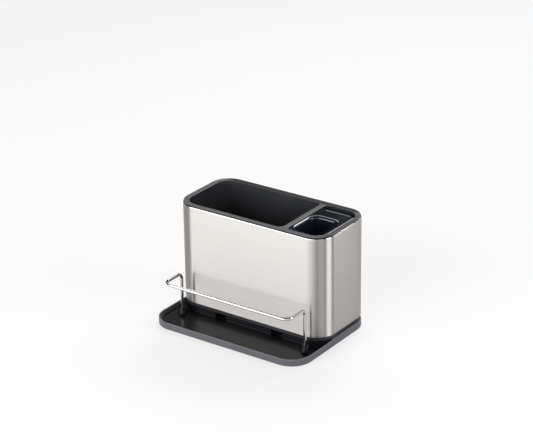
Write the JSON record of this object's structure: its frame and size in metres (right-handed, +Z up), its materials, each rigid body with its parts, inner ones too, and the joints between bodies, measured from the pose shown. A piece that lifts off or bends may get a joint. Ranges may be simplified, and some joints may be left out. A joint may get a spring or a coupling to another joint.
{
  "type": "sink caddy",
  "caption": "Free-standing sink caddy: brushed steel body with a lift-out divided liner and brush cup, on a drip tray with a wire rail for sponges.",
  "frame": {"origin": "middle of the tray's footprint, on the surface that the rubber feet stand on", "axes": "+X to the right along the longest side, +Y to the back with the open sponge bay facing -Y, +Z up"},
  "size_m": [0.186, 0.1328, 0.1232],
  "materials": {
    "tray_plastic": "fine satin moulding",
    "ring_plastic": "satin moulding",
    "liner_plastic": "matt moulding",
    "cup_plastic": "satin moulding",
    "brushed_steel": "brushed",
    "polished_wire": "polished",
    "foot_rubber": "matt"
  },
  "bodies": {
    "tray": {"base_tray": "tray_plastic", "foot_front_left": "foot_rubber", "foot_front_right": "foot_rubber", "foot_back_left": "foot_rubber", "foot_back_right": "foot_rubber"},
    "body": {"steel_sleeve": "brushed_steel", "base_ring": "ring_plastic"},
    "liner": {"liner": "liner_plastic"},
    "cup": {"brush_cup": "cup_plastic"},
    "rail": {"wire_rail": "polished_wire"}
  },
  "joints": [
    {"name": "body_lift", "type": "slide", "parent": "tray", "child": "body", "axis": [0, 0, 1], "range_m": [0, 0.02]},
    {"name": "liner_lift", "type": "slide", "parent": "body", "child": "liner", "axis": [0, 0, 1], "range_m": [0, 0.115]},
    {"name": "cup_lift", "type": "slide", "parent": "liner", "child": "cup", "axis": [0, 0, 1], "range_m": [0, 0.11]},
    {"name": "rail_lift", "type": "slide", "parent": "tray", "child": "rail", "axis": [0, 0, 1], "range_m": [0, 0.012]}
  ]
}
